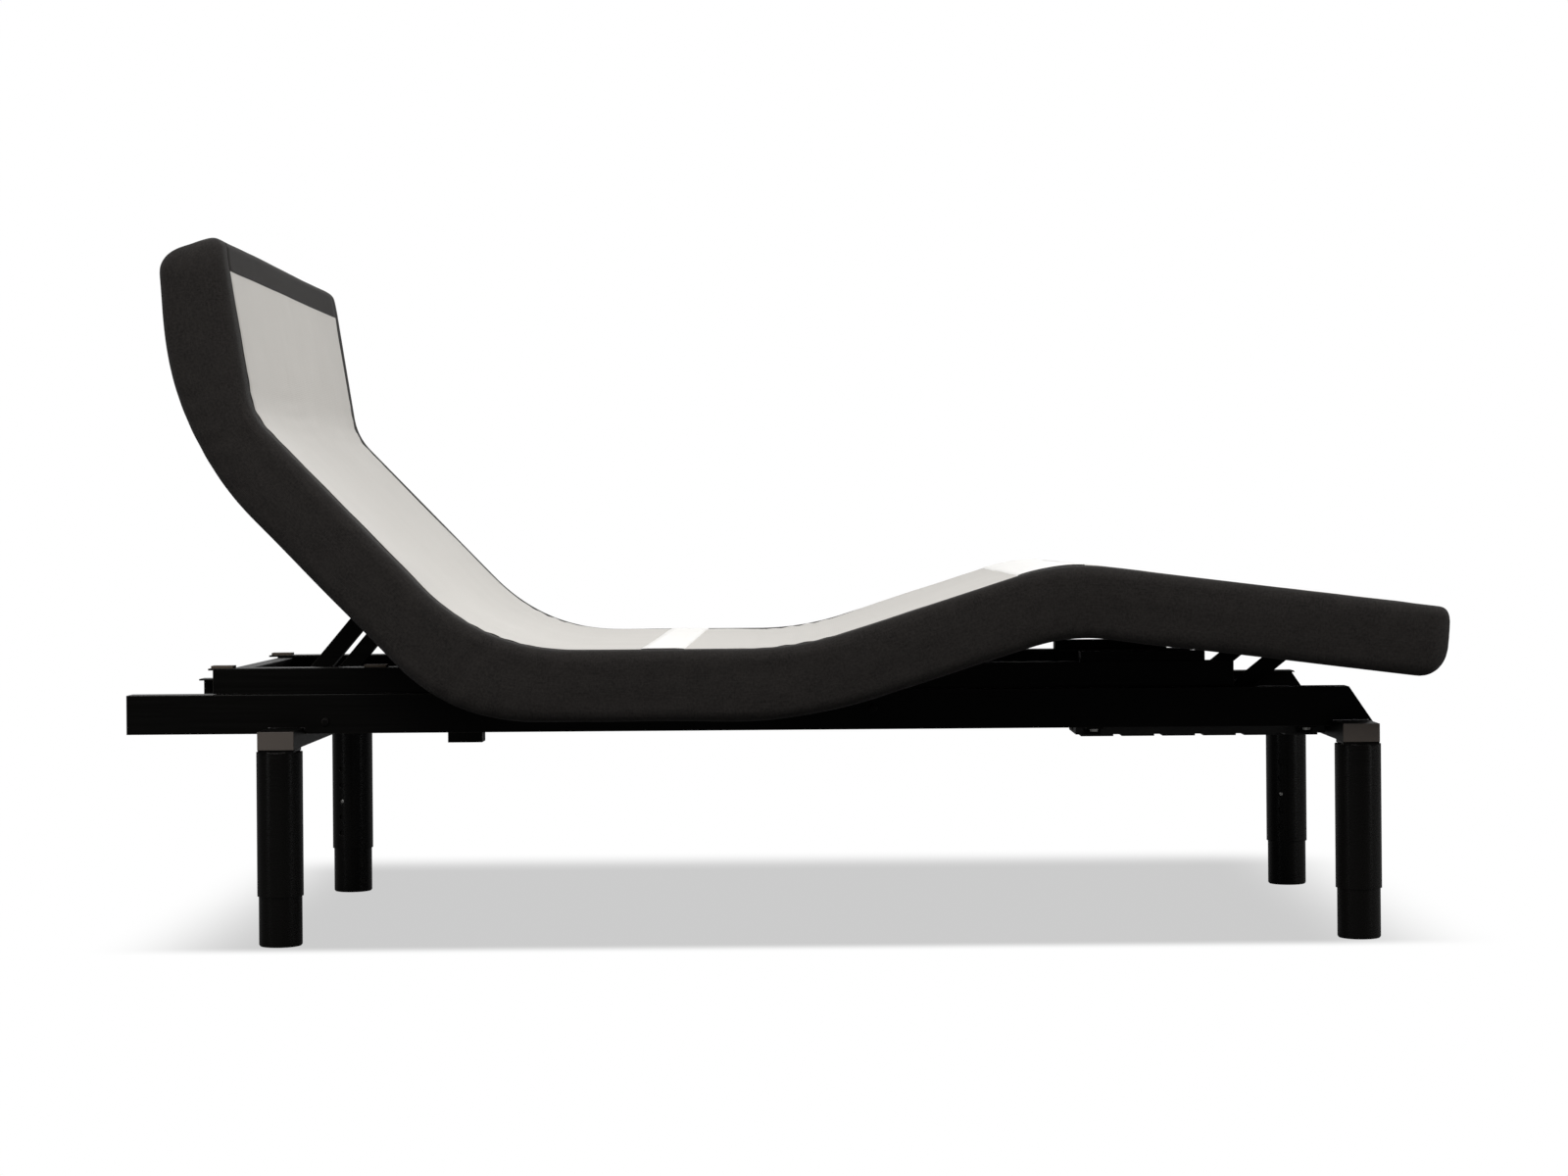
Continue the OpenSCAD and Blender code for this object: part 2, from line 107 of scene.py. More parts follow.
def mixc(nt, fac, a, b, mode="MIX"):
    m = N(nt, "Mix", data_type="RGBA", blend_type=mode)
    for sock, v in ((m.inputs[0], fac), (m.inputs[6], a), (m.inputs[7], b)):
        if hasattr(v, "is_linked"):
            L(nt, v, sock)
        else:
            sock.default_value = v
    return m.outputs[2]


def math(nt, op, a, b=0.0):
    m = N(nt, "Math", operation=op)
    for i, v in enumerate((a, b)):
        if hasattr(v, "is_linked"):
            L(nt, v, m.inputs[i])
        else:
            m.inputs[i].default_value = v
    return m.outputs[0]


def bump(nt, h, strength, dist, normal=None):
    b = N(nt, "Bump")
    b.inputs["Strength"].default_value = strength
    b.inputs["Distance"].default_value = dist
    L(nt, h, b.inputs["Height"])
    if normal is not None:
        L(nt, normal, b.inputs["Normal"])
    return b.outputs[0]


def noise_tex(nt, vec, scale, detail=3.0, rough=0.55):
    n = N(nt, "TexNoise")
    n.inputs["Scale"].default_value = scale
    n.inputs["Detail"].default_value = detail
    n.inputs["Roughness"].default_value = rough
    L(nt, vec, n.inputs["Vector"])
    return n.outputs[0]


def wave(nt, vec, scale, direction, dist=0.0, ds=1.0):
    w = N(nt, "TexWave", wave_type="BANDS", bands_direction=direction)
    w.inputs["Scale"].default_value = scale
    w.inputs["Distortion"].default_value = dist
    w.inputs["Detail Scale"].default_value = ds
    L(nt, vec, w.inputs["Vector"])
    return w.outputs["Fac"]


def woven(name, dark, light, sheen, pitch=0.0016, use_uv=True, rough=0.92):
    """Plain-weave upholstery: warp and weft threads, slubs along both, lint-like variation."""
    m, nt, bs = new_mat(name)
    uv = coords(nt, use_uv)
    warp = wave(nt, uv, 1.0 / pitch / 3.18, "X", 1.2, 2.0)
    weft = wave(nt, uv, 1.0 / pitch / 3.18, "Y", 1.2, 2.0)
    thread = math(nt, "MULTIPLY", warp, weft)
    slub_h = noise_tex(nt, mapped(nt, uv, (45, 760, 45)), 1.0, 4)
    slub_v = noise_tex(nt, mapped(nt, uv, (700, 120, 700)), 1.0, 4)
    cloud = noise_tex(nt, uv, 34.0, 5, 0.7)
    streak = ramp(nt, math(nt, "MAXIMUM", slub_h, slub_v), [(0.50, (0, 0, 0)), (0.78, (1, 1, 1))]).outputs[0]
    c1 = mixc(nt, streak, (*dark, 1), (*light, 1))
    speck = ramp(nt, noise_tex(nt, uv, 300.0, 3, 0.75), [(0.38, (0, 0, 0)), (0.62, (1, 1, 1))]).outputs[0]
    c1 = mixc(nt, math(nt, "MULTIPLY", speck, 0.50), c1, (light[0] * 1.3, light[1] * 1.26, light[2] * 1.24, 1))
    c2 = mixc(nt, math(nt, "MULTIPLY", thread, 0.45), c1, (dark[0] * 0.5, dark[1] * 0.5, dark[2] * 0.5, 1))
    c3 = mixc(nt, ramp(nt, cloud, [(0.35, (0, 0, 0)), (0.65, (0.30, 0.30, 0.30))]).outputs[0], c2, (light[0] * 1.15, light[1] * 1.12, light[2] * 1.1, 1))
    L(nt, c3, bs.inputs["Base Color"])
    bs.inputs["Roughness"].default_value = rough
    bs.inputs["Specular IOR Level"].default_value = 0.18
    bs.inputs["Sheen Weight"].default_value = sheen
    bs.inputs["Sheen Roughness"].default_value = 0.45
    b1 = bump(nt, noise_tex(nt, uv, 9.0, 3), 0.35, 0.004)
    b2 = bump(nt, streak, 0.3, 0.0004, b1)
    b3 = bump(nt, thread, 0.7, 0.0005, b2)
    L(nt, b3, bs.inputs["Normal"])
    return m


def nonwoven(name, base, pale, use_uv=True):
    """Light non-woven cloth: fibre mottling, small embossed dots, faint creases."""
    m, nt, bs = new_mat(name)
    uv = coords(nt, use_uv)
    fibre = noise_tex(nt, mapped(nt, uv, (900, 260, 500)), 1.0, 5, 0.7)
    cloud = noise_tex(nt, uv, 7.0, 5)
    vor = N(nt, "TexVoronoi", feature="F1")
    vor.inputs["Scale"].default_value = 330.0
    vor.inputs["Randomness"].default_value = 0.15
    L(nt, uv, vor.inputs["Vector"])
    dots = ramp(nt, vor.outputs["Distance"], [(0.12, (0, 0, 0)), (0.34, (1, 1, 1))]).outputs[0]
    c = mixc(nt, math(nt, "MULTIPLY", cloud, 0.6), (*base, 1), (*pale, 1))
    c = mixc(nt, math(nt, "MULTIPLY", math(nt, "SUBTRACT", 1.0, dots), 0.14), c, (base[0] * 0.72, base[1] * 0.72, base[2] * 0.72, 1))
    c = mixc(nt, math(nt, "MULTIPLY", fibre, 0.16), c, (base[0] * 0.84, base[1] * 0.83, base[2] * 0.81, 1))
    L(nt, c, bs.inputs["Base Color"])
    bs.inputs["Roughness"].default_value = 0.85
    bs.inputs["Specular IOR Level"].default_value = 0.2
    bs.inputs["Sheen Weight"].default_value = 0.15
    crease = noise_tex(nt, mapped(nt, uv, (3, 16, 8)), 1.0, 3)
    b1 = bump(nt, crease, 0.35, 0.004)
    b2 = bump(nt, fibre, 0.25, 0.0003, b1)
    b3 = bump(nt, dots, 0.5, 0.0003, b2)
    L(nt, b3, bs.inputs["Normal"])
    return m


def coated_steel(name, col, rough=0.34, spec=0.08, edge_highlight_col=(0.050, 0.046, 0.042)):
    """Powder coat: fine orange peel, edges painted brighter as a highlight, a little dust."""
    m, nt, bs = new_mat(name)
    ob = coords(nt, False)
    peel = noise_tex(nt, ob, 900.0, 2)
    cloud = noise_tex(nt, ob, 14.0, 5)
    scr = noise_tex(nt, mapped(nt, ob, (6, 500, 500)), 1.0, 3)
    geo = N(nt, "NewGeometry")
    bv = N(nt, "Bevel")
    bv.samples = 6
    bv.inputs["Radius"].default_value = 0.0016
    dot = N(nt, "VectorMath", operation="DOT_PRODUCT")
    L(nt, bv.outputs[0], dot.inputs[0])
    L(nt, geo.outputs["Normal"], dot.inputs[1])
    # painted highlight: rounded edges get a brighter base colour in place of the reflection they catch
    edge_highlight = ramp(nt, math(nt, "SUBTRACT", 1.0, dot.outputs["Value"]), [(0.03, (0, 0, 0)), (0.16, (1, 1, 1))]).outputs[0]
    c = mixc(nt, math(nt, "MULTIPLY", cloud, 0.5), (*col, 1), (col[0] * 2.6, col[1] * 2.5, col[2] * 2.4, 1))
    c = mixc(nt, math(nt, "MULTIPLY", edge_highlight, 0.75), c, (*edge_highlight_col, 1))
    L(nt, c, bs.inputs["Base Color"])
    r = ramp(nt, scr, [(0.3, (rough - 0.05,) * 3), (0.7, (rough + 0.12,) * 3)]).outputs[0]
    L(nt, r, bs.inputs["Roughness"])
    bs.inputs["Specular IOR Level"].default_value = spec
    bs.inputs["Coat Weight"].default_value = 0.02
    bs.inputs["Coat Roughness"].default_value = 0.22
    L(nt, bump(nt, peel, 0.10, 0.0004, bv.outputs[0]), bs.inputs["Normal"])
    return m


def bright_steel(name, col=(0.62, 0.62, 0.60)):
    m, nt, bs = new_mat(name)
    ob = coords(nt, False)
    br = noise_tex(nt, mapped(nt, ob, (60, 900, 900)), 1.0, 4)
    cloud = noise_tex(nt, ob, 60.0, 4)
    L(nt, mixc(nt, cloud, (*col, 1), (col[0] * 0.6, col[1] * 0.6, col[2] * 0.58, 1)), bs.inputs["Base Color"])
    bs.inputs["Metallic"].default_value = 1.0
    L(nt, ramp(nt, br, [(0.3, (0.22,) * 3), (0.7, (0.42,) * 3)]).outputs[0], bs.inputs["Roughness"])
    L(nt, bump(nt, br, 0.15, 0.0003), bs.inputs["Normal"])
    return m


def plastic(name, col, rough, grain=700.0):
    m, nt, bs = new_mat(name)
    ob = coords(nt, False)
    g = noise_tex(nt, ob, grain, 3)
    cloud = noise_tex(nt, ob, 25.0, 4)
    geo = N(nt, "NewGeometry")
    # painted highlight: convex edges get a lighter base colour
    edge_highlight = ramp(nt, geo.outputs["Pointiness"], [(0.51, (0, 0, 0)), (0.6, (1, 1, 1))]).outputs[0]
    c = mixc(nt, math(nt, "MULTIPLY", cloud, 0.5), (*col, 1), (col[0] * 1.35, col[1] * 1.32, col[2] * 1.3, 1))
    c = mixc(nt, math(nt, "MULTIPLY", edge_highlight, 0.25), c, (min(1, col[0] * 2), min(1, col[1] * 2), min(1, col[2] * 2), 1))
    L(nt, c, bs.inputs["Base Color"])
    L(nt, ramp(nt, cloud, [(0.3, (rough - 0.06,) * 3), (0.7, (rough + 0.08,) * 3)]).outputs[0], bs.inputs["Roughness"])
    bs.inputs["Specular IOR Level"].default_value = 0.4
    bv = N(nt, "Bevel")
    bv.samples = 4
    bv.inputs["Radius"].default_value = 0.001
    L(nt, bump(nt, g, 0.2, 0.0003, bv.outputs[0]), bs.inputs["Normal"])
    return m


M_FABRIC = woven("woven_black", (0.0070, 0.0060, 0.0055), (0.0236, 0.0212, 0.0196), 0.05)
M_TOP = nonwoven("nonwoven_grey", (0.50, 0.482, 0.452), (0.61, 0.59, 0.56))
M_BAND = nonwoven("white_band", (0.80, 0.79, 0.77), (0.90, 0.89, 0.87))
M_DUST = woven("dust_cloth", (0.010, 0.010, 0.010), (0.022, 0.021, 0.021), 0.05, 0.0008)
M_THREAD = woven("black_thread", (0.02, 0.019, 0.018), (0.05, 0.048, 0.045), 0.2, 0.0005)
M_STEEL = coated_steel("powder_coat_black", (0.0013, 0.0012, 0.0010))
# the last colour is the painted edge highlight of the legs
M_LEG = coated_steel("leg_coat_black", (0.0016, 0.0014, 0.0012), 0.24, 0.17, (0.020, 0.018, 0.017))
MATS = {
    "black_steel": M_STEEL,
    "bright_steel": bright_steel("zinc_plate"),
    "plug_plastic": plastic("end_plug_brown", (0.058, 0.048, 0.041), 0.5),
    "bumper_rubber": plastic("bumper_brown", (0.06, 0.045, 0.032), 0.6),
    "black_plastic": plastic("moulded_black", (0.010, 0.010, 0.0095), 0.45),
    "roller_plastic": plastic("roller_nylon", (0.05, 0.05, 0.05), 0.4),
    "board": plastic("board_face", (0.16, 0.11, 0.06), 0.7),
    "black_fabric": M_FABRIC,
    "grey_top": M_TOP,
}
for sp in record["subparts"]:
    o = nodes[sp["node"]]
    m = M_LEG if sp["node"].startswith("leg_") else MATS[sp["material_slot"]]
    if len(o.material_slots):
        for s in o.material_slots:
            s.material = m
    else:
        o.data.materials.append(m)

# ---------------------------------------------------------------- the padded cover
BACK_L = 0.459
Hp, T1p = (-0.456, 0.3905), (-0.0237, 0.3905)
BA, TA, KA, HA = 46 * D, 17.7 * D, 24.9 * D, 35 * D
HTp = (Hp[0] - BACK_L * cos(BA), Hp[1] + BACK_L * sin(BA))
Kp = (T1p[0] + 0.372 * cos(TA), T1p[1] + 0.372 * sin(TA))
HEAD_L, FOOT_L = 0.257, 0.519
ZT, ZB = 0.020, -0.076        # top face and lower edge, from the hinge line
HW = 0.4825                   # half width

# sections from head to foot: unit direction towards the foot, and up normal
def frame_of(angle):          # angle of the section above level, towards the foot
    return (cos(angle), sin(angle)), (-sin(angle), cos(angle))


SEC = [frame_of(-(BA + HA)), frame_of(-BA), frame_of(0.0), frame_of(TA), frame_of(TA - KA)]
HINGE = [HTp, Hp, T1p, Kp]
S_H = [HEAD_L, HEAD_L + BACK_L, HEAD_L + BACK_L + 0.4323, HEAD_L + BACK_L + 0.4323 + 0.372]
S_END = S_H[3] + FOOT_L
W = [0.110, 0.130, 0.085, 0.080]            # half length of each bend
E_TOP = [0.30, 1.00, 0.85, 0.75]            # how much of it the top face rounds
E_BOT = [1.0, 0.70, 1.0, 0.9]


def sec_index(s):
    for i, h in enumerate(S_H):
        if s < h:
            return i
    return 4


def on_section(i, s, off):
    """A point on section i at arc length s along the hinge line, off above it."""
    h = min(i, 3)
    ref, s0 = HINGE[h], S_H[h]
    u, n = SEC[i]
    d = s - s0
    if i == 4:
        d = s - S_H[3]
        ref = HINGE[3]
    return (ref[0] + u[0] * d + n[0] * off, ref[1] + u[1] * d + n[1] * off)


def corner(h, off):
    (u1, n1), (u2, n2) = SEC[h], SEC[h + 1]
    b = (n1[0] + n2[0], n1[1] + n2[1])
    k = off * 2 / (b[0] ** 2 + b[1] ** 2)
    return (HINGE[h][0] + b[0] * k, HINGE[h][1] + b[1] * k)


def lerp(a, b, t):
    return (a[0] + (b[0] - a[0]) * t, a[1] + (b[1] - a[1]) * t)


def edge_curve(s, off, E):
    for h in range(4):
        d = s - S_H[h]
        w = W[h]
        if abs(d) < w:
            a, b = on_section(h, S_H[h] - w, off), on_section(h + 1, S_H[h] + w, off)
            c = corner(h, off)
            u = d / w
            e = E[h]
            if u < -e:
                return lerp(a, c, (u + 1))
            if u > e:
                return lerp(c, b, u)
            pa, pb = lerp(a, c, 1 - e), lerp(c, b, e)
            t = (u + e) / (2 * e)
            return lerp(lerp(pa, c, t), lerp(c, pb, t), t)
    return on_section(sec_index(s), s, off)


def end_profile(s):
    """Pulls the top down and the bottom up at the two rounded ends: (top offset, bottom offset)."""
    zt, zb = ZT, ZB
    def rnd(d, r):
        return 0.0 if d >= r else r - (max(0.0, r * r - (r - d) ** 2)) ** 0.5
    zt -= rnd(s, 0.021)
    k = min(1.0, max(0.0, s / 0.14))
    zb += rnd(s, 0.040) * 0.85 + 0.008 * (1 - k * k * (3 - 2 * k))
    d = S_END - s
    zt -= rnd(d, 0.015)
    zb += rnd(d, 0.036)
    return zt, zb


def station(s):
    zt, zb = end_profile(s)
    T = edge_curve(s + 0.006 * exp(-s / 0.03), zt, E_TOP)
    B = edge_curve(s + 0.013 * exp(-s / 0.05) + 0.002 * exp(-(S_END - s) / 0.03), zb, E_BOT)
    return T, B


def fnoise(x, y, z, seed=0.0):
    return noise.noise(Vector((x + seed, y, z)))


# cross-section of the cover: (y, depth below the top face, region)
def section_points():
    P = []
    r = 0.016
    iw = HW - 0.050
    def add(y, t, reg):
        P.append((y, t, reg))
    ny = 22
    yt = HW - 0.042
    for i in range(ny + 1):
        add(yt * i / ny, 0.0, "top")
    add(yt + 0.0006, 0.0011, "side")              # seam between top cloth and border
    add(yt + 0.0030, 0.0002, "side")
    add(yt + 0.0075, 0.0, "side")
    add(yt + 0.0160, 0.0, "side")
    for k in range(1, 8):
        a = pi / 2 * k / 7
        add(HW - r + r * sin(a), r - r * cos(a), "side")
    for t in (0.023, 0.031, 0.040, 0.049, 0.058, 0.067, 0.075):
        add(HW, t, "side")
    rb = 0.015
    t0 = 0.096 - rb
    for k in range(0, 7):
        a = pi / 2 * k / 6
        add(HW - rb + rb * cos(a), t0 + rb * sin(a), "side")
    for k in range(1, 4):
        add(HW - rb - (0.050 - 2 * 0.010 - 0.005) * k / 4, 0.096, "under")
    for k in range(0, 5):
        a = pi / 2 * k / 4
        add(iw + 0.010 - 0.010 * sin(a), 0.086 + 0.010 * cos(a), "under")
    for t in (0.070, 0.052, 0.034, 0.022):
        add(iw, t, "under")
    add(iw - 0.006, 0.0152, "under")
    for k in range(1, 9):
        add((iw - 0.006) * (1 - k / 8), 0.0152, "under")
    return P


HALF = section_points()
RING = [(y, t, g) for y, t, g in HALF] + [(-y, t, g) for y, t, g in reversed(HALF[1:-1])]


def cover_point(s, y, t, reg):
    T, B = station(s)
    if reg == "under" and t < 0.0153:          # lining drawn up over the blocks under the knee
        t -= 0.0065 * exp(-((s - S_H[3] - 0.045) / 0.085) ** 2)
    f = t / 0.096
    x = T[0] + (B[0] - T[0]) * f
    z = T[1] + (B[1] - T[1]) * f
    # direction of the normal for small lifts
    nx, nz = T[0] - B[0], T[1] - B[1]
    k = 1.0 / max(1e-6, hypot(nx, nz))
    nx, nz = nx * k, nz * k
    bend = max(exp(-((s - h) / 0.055) ** 2) for h in S_H)
    side = 0.0
    lift = 0.0
    if reg == "top":
        lift = 0.0016 * fnoise(s * 5.0, y * 3.0, 1.7) + 0.0007 * fnoise(s * 17, y * 9, 5.1)
        for h in S_H[:3]:
            d = s - h
            if abs(d) < 0.10:
                lift += 0.0012 * sin(d * 210 + 3 * fnoise(y * 4, s * 2, 3.0)) * exp(-(d / 0.05) ** 2) * (0.5 + fnoise(y * 5, s, 8.0))
        lift -= 0.0
    elif reg == "side":
        sg = 1 if y > 0 else -1
        # foam border: slightly crowned between its edges, pressed at the ends
        side = sg * (0.0035 * (1 - (2 * f - 1) ** 2) - 0.0015)
        side += sg * (0.0016 * fnoise(s * 6, f * 4, 2.0, sg) + 0.0006 * fnoise(s * 25, f * 12, 4.0, sg))
        side += sg * 0.0011 * bend * sin(s * 190 + f * 5 + 2 * fnoise(s * 8, f * 3, 9.0)) * f
        side *= min(1.0, max(0.0, t / 0.012))
        lift = -0.0008 * f * fnoise(s * 9, 2.0, y * 2)
        if f > 0.8:
            lift += 0.0015 * fnoise(s * 7, 3.0, sg)
    # ends are drawn in across the width
    de = min(s, S_END - s)
    re = 0.050 if s < 0.5 else 0.030
    if de < re:
        pull = re - (max(0.0, re * re - (re - de) ** 2)) ** 0.5
        y -= (1 if y > 0 else -1) * pull * (0.8 if s < 0.5 else 0.55) * (abs(y) / HW) ** 3
    return (x + nx * lift + SX, y + side, z + nz * lift)


def station_list(a, b):
    """Arc lengths from a to b, denser in bends and at the ends."""
    out, s = [a], a
    while s < b - 1e-6:
        near = min(abs(s - h) for h in S_H)
        de = min(s, S_END - s)
        step = 0.0065 if near < 0.10 else 0.013
        if de < 0.0015:
            step = 0.0004
        elif de < 0.008:
            step = 0.0012
        elif de < 0.03:
            step = 0.003
        elif de < 0.075:
            step = 0.007
        s = min(b, s + step)
        if b - s < 0.0003:
            s = b
        out.append(s)
    return out


def build_cover(name, a, b, cap0=False, cap1=False):
    st = station_list(a, b)
    if cap0:
        st[0] = 0.00002
    if cap1:
        st[-1] = S_END - 0.00002
    n = len(RING)
    vs, fs, mi, uvs = [], [], [], []
    per = [0.0]
    for i in range(1, n + 1):
        p, q = RING[i - 1], RING[i % n]
        per.append(per[-1] + hypot(q[0] - p[0], q[1] - p[1]))
    for s in st:
        for (y, t, g) in RING:
            vs.append(cover_point(s, y, t, g))
    TOP0 = 0.052           # the grey cloth starts behind the black strip at the head end
    for i in range(len(st) - 1):
        sm = (st[i] + st[i + 1]) / 2
        for j in range(n):
            k = (j + 1) % n
            fs.append((i * n + j, i * n + k, (i + 1) * n + k, (i + 1) * n + j))
            g = RING[j][2] if RING[j][2] == RING[k][2] else ("side" if "side" in (RING[j][2], RING[k][2]) else "under")
            if g == "top" and (sm < TOP0 or sm > S_END - 0.045):
                g = "side"
            mi.append({"top": 1, "side": 0, "under": 2}[g])
            uvs.append(((st[i], per[j]), (st[i], per[j + 1]), (st[i + 1], per[j + 1]), (st[i + 1], per[j])))
    # end panels: rows between the top sheet and the lower edge, closing the tube
    for cap, row, sgn in ((cap0, 0, 1), (cap1, len(st) - 1, -1)):
        if not cap:
            continue
        m = len(HALF)
        idx = list(range(n))
        left = [row * n + i for i in range(m)]
        right = [row * n] + [row * n + n - i for i in range(1, m - 1)] + [row * n + m - 1]
        for i in range(m - 1):
            q = [left[i], left[i + 1], right[i + 1], right[i]]
            q = [v for c, v in enumerate(q) if v not in q[:c]]
            if len(q) < 3:
                continue
            if sgn < 0:
                q = q[::-1]
            fs.append(tuple(q))
            mi.append(0)
            uvs.append(tuple((vs[v][1], vs[v][2]) for v in q))
    me = bpy.data.meshes.new(name)
    me.from_pydata(vs, [], fs)
    uv = me.uv_layers.new(name="UVMap")
    li = 0
    for fi, f in enumerate(fs):
        for c in range(len(f)):
            uv.data[li].uv = uvs[fi][c]
            li += 1
    for m in (M_FABRIC, M_TOP, M_DUST):
        me.materials.append(m)
    for p, k in zip(me.polygons, mi):
        p.material_index = k
        p.use_smooth = True
    me.update()
    o = bpy.data.objects.new(name, me)
    bpy.context.collection.objects.link(o)
    return o


def hinge_span(h, w):
    """Start and end points on either side of hinge h, w from it."""
    a = on_section(h, S_H[h] - w, 0.0)
    b = on_section(h + 1, S_H[h] + w, 0.0)
    return (a[0] + SX, 0, a[1]), (b[0] + SX, 0, b[1])


CUT = [0.0, S_H[0] + 0.22, S_H[1] + 0.228, S_H[2] + 0.186, S_END]
PAIRS = [("head", "back"), ("back", "carriage"), ("carriage", "thigh"), ("thigh", "foot")]
NAMES = ["head_cover", "back_cover", "seat_cover", "foot_cover"]
REPL = [["head_pad", "head_borders", "head_board"], ["back_pad", "back_borders", "back_board"],
        ["seat_pad", "seat_borders", "seat_board", "thigh_pad", "thigh_borders", "thigh_board"],
        ["foot_pad", "foot_borders", "foot_board"]]
covers = []
for i in range(4):
    o = build_cover(NAMES[i], CUT[i], CUT[i + 1], i == 0, i == 3)
    p, q = hinge_span(i, 0.062 if i != 0 else 0.055)
    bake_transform(o)
    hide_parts(*REPL[i])
    covers.append(o)


def strip(name, s0, s1, mat, y1, lift, pair, span, ns, skew=0.0, thick=0.0009):
    """A cloth band lying on the top face, with turned edges."""
    vs, fs, uvs = [], [], []
    ny = 60
    rows = [s0 + (s1 - s0) * i / ns for i in range(ns + 1)]
    prof = [(-0.0006, -0.0004)] + [(r, lift + thick * (0.6 if i in (0, ns) else 1.0)) for i, r in enumerate([x - s0 for x in rows])] + [(s1 - s0 + 0.0006, -0.0004)]
    for (ds, up) in prof:
        for j in range(ny + 1):
            y = -y1 + 2 * y1 * j / ny
            s = s0 + ds + skew * y
            x, yy, z = cover_point(s, y, 0.0, "top")
            T, B = station(s)
            k = 1 / max(1e-6, hypot(T[0] - B[0], T[1] - B[1]))
            up2 = up + 0.0004 * fnoise(s * 30, y * 6, 2.2)
            vs.append((x + (T[0] - B[0]) * k * up2, yy, z + (T[1] - B[1]) * k * up2))
    m = len(prof)
    for i in range(m - 1):
        for j in range(ny):
            fs.append((i * (ny + 1) + j, i * (ny + 1) + j + 1, (i + 1) * (ny + 1) + j + 1, (i + 1) * (ny + 1) + j))
            uvs += [(prof[i][0], j / ny), (prof[i][0], (j + 1) / ny), (prof[i + 1][0], (j + 1) / ny), (prof[i + 1][0], j / ny)]
    me = bpy.data.meshes.new(name)
    me.from_pydata(vs, [], fs)
    uv = me.uv_layers.new(name="UVMap")
    for k, c in enumerate(uvs):
        uv.data[k].uv = c
    me.materials.append(mat)
    for p in me.polygons:
        p.use_smooth = True
    o = bpy.data.objects.new(name, me)
    bpy.context.collection.objects.link(o)
    if span is None:
        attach(o, pair)
    else:
        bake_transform(o)
    return o


yt = HW - 0.042
strip("seat_band", S_H[1] + 0.218, S_H[1] + 0.276, M_BAND, yt, 0.0004, "carriage", None, 6)
strip("knee_band", S_H[3] - 0.058, S_H[3] + 0.030, M_BAND, yt, 0.0004, PAIRS[3], hinge_span(3, 0.062), 16)


# bright snap-button domes, pressed in behind the third hole of each leg
for i in range(1, 5):
    a = radians(155 if i % 2 == 1 else -25)
    cx, cyy = SX + (-0.7465 if i < 3 else 0.7465), (-0.324 if i % 2 == 1 else 0.324)
    d = (sin(a), -cos(a))
    vs, fs = [], []
    for r in range(0, 6):
        q = (pi / 2) * r / 5
        for c in range(24):
            t = 2 * pi * c / 24
            rad, out = 0.0030 * sin(q), 0.02975 + 0.00022 * cos(q)
            e = rad * cos(t)
            vs.append((cx + d[0] * out - d[1] * e, cyy + d[1] * out + d[0] * e, 0.1448 + rad * sin(t)))
    for r in range(5):
        for c in range(24):
            n2 = (c + 1) % 24
            fs.append((r * 24 + c, (r + 1) * 24 + c, (r + 1) * 24 + n2, r * 24 + n2))
    me = bpy.data.meshes.new("snap_button_%d" % i)
    me.from_pydata(vs, [], fs)
    me.materials.append(MATS["bright_steel"])
    for p in me.polygons:
        p.use_smooth = True
    o = bpy.data.objects.new("snap_button_%d" % i, me)
    bpy.context.collection.objects.link(o)
    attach(o, "inner_leg_%d" % i)

# ---------------------------------------------------------------- floor, light, camera
def stage_plane(name, size, loc, mat):
    me = bpy.data.meshes.new(name)
    h = size / 2
    me.from_pydata([(-h, -h, 0), (h, -h, 0), (h, h, 0), (-h, h, 0)], [], [(0, 1, 2, 3)])
    me.materials.append(mat)
    o = bpy.data.objects.new(name, me)
    o.location = loc
    bpy.context.collection.objects.link(o)
    return o


fm, nt, bs = new_mat("floor_white_painted_shadow")
tc = N(nt, "TexCoord")
sep = N(nt, "SeparateXYZ")
L(nt, tc.outputs["Object"], sep.inputs[0])


def soft_step(v, lo, hi, flip=False):
    mr = N(nt, "MapRange", interpolation_type="SMOOTHERSTEP")
    L(nt, v, mr.inputs[0])
    mr.inputs[1].default_value = lo
    mr.inputs[2].default_value = hi
    mr.inputs[3].default_value = 1.0 if flip else 0.0
    mr.inputs[4].default_value = 0.0 if flip else 1.0
    return mr.outputs[0]


X, Y = sep.outputs[0], sep.outputs[1]
# painted shadow: a soft grey rectangle under the couch, mixed into the floor colour seen by the camera
painted_shadow = math(nt, "MULTIPLY", soft_step(X, -0.97, -0.66), soft_step(X, 0.70, 1.03, True))
painted_shadow = math(nt, "MULTIPLY", painted_shadow, math(nt, "MULTIPLY", soft_step(Y, -0.43, -0.33), soft_step(Y, 0.55, 0.90, True)))
col = mixc(nt, painted_shadow, (1.0, 1.0, 1.0, 1), (0.60, 0.60, 0.60, 1))
em = N(nt, "Emission")
L(nt, col, em.inputs[0])
lp = N(nt, "LightPath")
mixs = N(nt, "MixShader")
bs.inputs["Base Color"].default_value = (0.10, 0.10, 0.10, 1)
bs.inputs["Roughness"].default_value = 0.9
L(nt, lp.outputs["Is Camera Ray"], mixs.inputs[0])
L(nt, bs.outputs[0], mixs.inputs[1])
L(nt, em.outputs[0], mixs.inputs[2])
outn = [n for n in nt.nodes if n.type == "OUTPUT_MATERIAL"][0]
gb = N(nt, "NewGeometry")                      # seen from below, the floor is clear
mixb = N(nt, "MixShader")
L(nt, gb.outputs["Backfacing"], mixb.inputs[0])
L(nt, mixs.outputs[0], mixb.inputs[1])
L(nt, N(nt, "BsdfTransparent").outputs[0], mixb.inputs[2])
L(nt, mixb.outputs[0], outn.inputs[0])
stage_plane("floor", 60.0, (0, 0, -0.0008), fm)

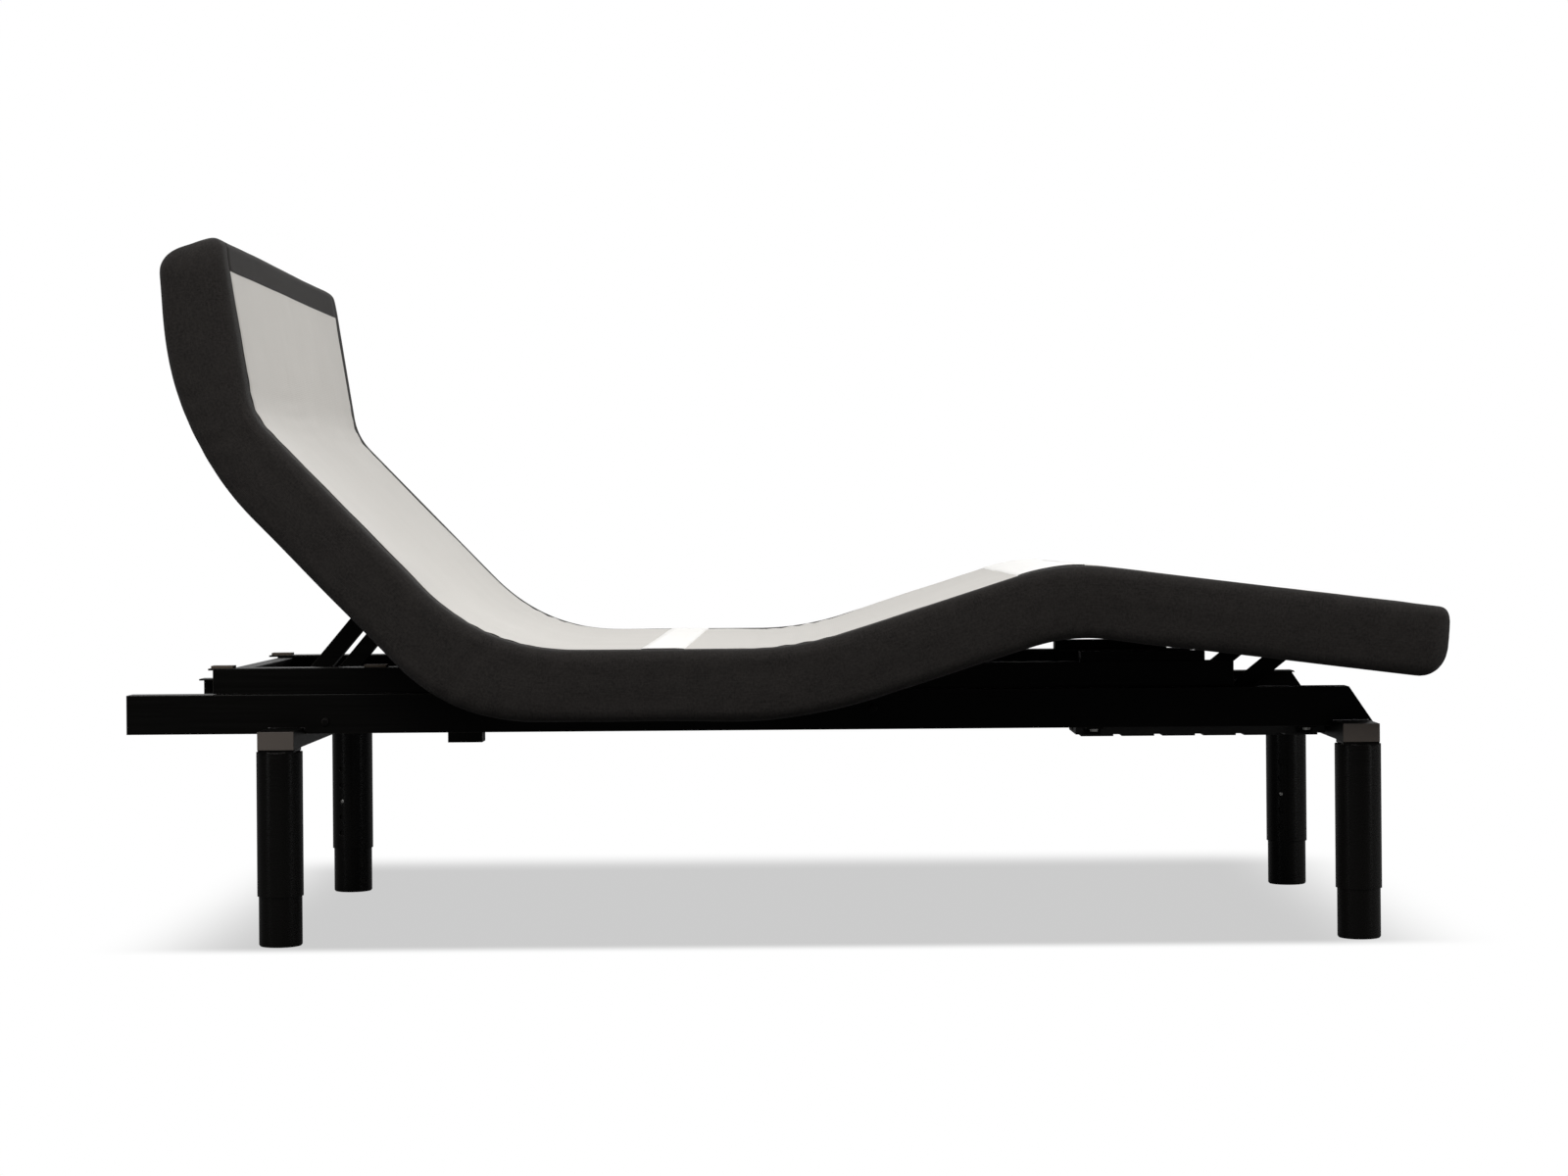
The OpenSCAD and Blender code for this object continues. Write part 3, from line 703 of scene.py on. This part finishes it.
world = bpy.data.worlds.new("white_room")
bpy.context.scene.world = world
world.use_nodes = True
wt = world.node_tree
wt.nodes.clear()
wo = wt.nodes.new("ShaderNodeOutputWorld")
bg1 = wt.nodes.new("ShaderNodeBackground")
bg2 = wt.nodes.new("ShaderNodeBackground")
bg1.inputs[0].default_value = (1, 1, 1, 1)
bg1.inputs[1].default_value = 1.0
bg2.inputs[0].default_value = (1, 1, 1, 1)
wtc = wt.nodes.new("ShaderNodeTexCoord")
wsp = wt.nodes.new("ShaderNodeSeparateXYZ")
wt.links.new(wtc.outputs["Generated"], wsp.inputs[0])


def wstep(v, lo, hi, a, b):
    mr = wt.nodes.new("ShaderNodeMapRange")
    mr.interpolation_type = "SMOOTHSTEP"
    wt.links.new(v, mr.inputs[0])
    for i, q in enumerate((lo, hi, a, b)):
        mr.inputs[i + 1].default_value = q
    return mr.outputs[0]


wadd = wt.nodes.new("ShaderNodeMath")
wadd.operation = "ADD"
wt.links.new(wstep(wsp.outputs[2], 0.15, 0.95, 0.02, 0.54), wadd.inputs[0])
wt.links.new(wstep(wsp.outputs[1], 0.0, 0.9, 0.0, 0.60), wadd.inputs[1])
wt.links.new(wadd.outputs[0], bg2.inputs[1])
wl = wt.nodes.new("ShaderNodeLightPath")
wm = wt.nodes.new("ShaderNodeMixShader")
wt.links.new(wl.outputs["Is Camera Ray"], wm.inputs[0])
wt.links.new(bg2.outputs[0], wm.inputs[1])
wt.links.new(bg1.outputs[0], wm.inputs[2])
wt.links.new(wm.outputs[0], wo.inputs[0])


def area(name, loc, target, size, power):
    ld = bpy.data.lights.new(name, "AREA")
    ld.shape = "RECTANGLE"
    ld.size, ld.size_y = size
    ld.energy = power
    o = bpy.data.objects.new(name, ld)
    o.location = loc
    d = Vector(target) - Vector(loc)
    o.rotation_euler = d.to_track_quat("-Z", "Y").to_euler()
    bpy.context.collection.objects.link(o)
    return o


area("key_top", (0.6, -1.2, 3.4), (0, 0, 0.4), (3.2, 2.0), 27)
area("front_fill", (-1.6, -3.4, 3.1), (0, 0, 0.5), (2.4, 1.4), 120)
area("foot_side", (4.2, -0.6, 1.7), (-0.6, 0, 0.7), (1.6, 1.4), 80)
area("strip_left", (-3.4, -2.6, 0.55), (0, -0.3, 0.25), (0.4, 1.1), 3.0)
area("strip_right", (3.6, -2.2, 0.55), (0, -0.3, 0.25), (0.4, 1.1), 3.5)
area("back_rim", (0.4, 3.2, 2.4), (0, 0, 0.5), (3.0, 1.2), 36)

cam_data = bpy.data.cameras.new("camera")
cam = bpy.data.objects.new("camera", cam_data)
bpy.context.collection.objects.link(cam)
cam.location = (SX + 0.006, -4.5035, 0.562)
cam_data.lens = 69.3
cam_data.sensor_width = 36.0
cam_data.shift_x = -0.02375
cam_data.shift_y = -0.03375
cam_data.clip_end = 200
from mathutils import Matrix
cam.rotation_euler = (Matrix.Rotation(pi / 2, 4, "X") @ Matrix.Rotation(-0.45 * D, 4, "Z")).to_euler()
sc = bpy.context.scene
sc.camera = cam
sc.render.resolution_x, sc.render.resolution_y = 1600, 1200
sc.view_settings.view_transform = "Standard"
sc.view_settings.look = "None"
sc.view_settings.exposure = 0.0
sc.view_settings.gamma = 1.0
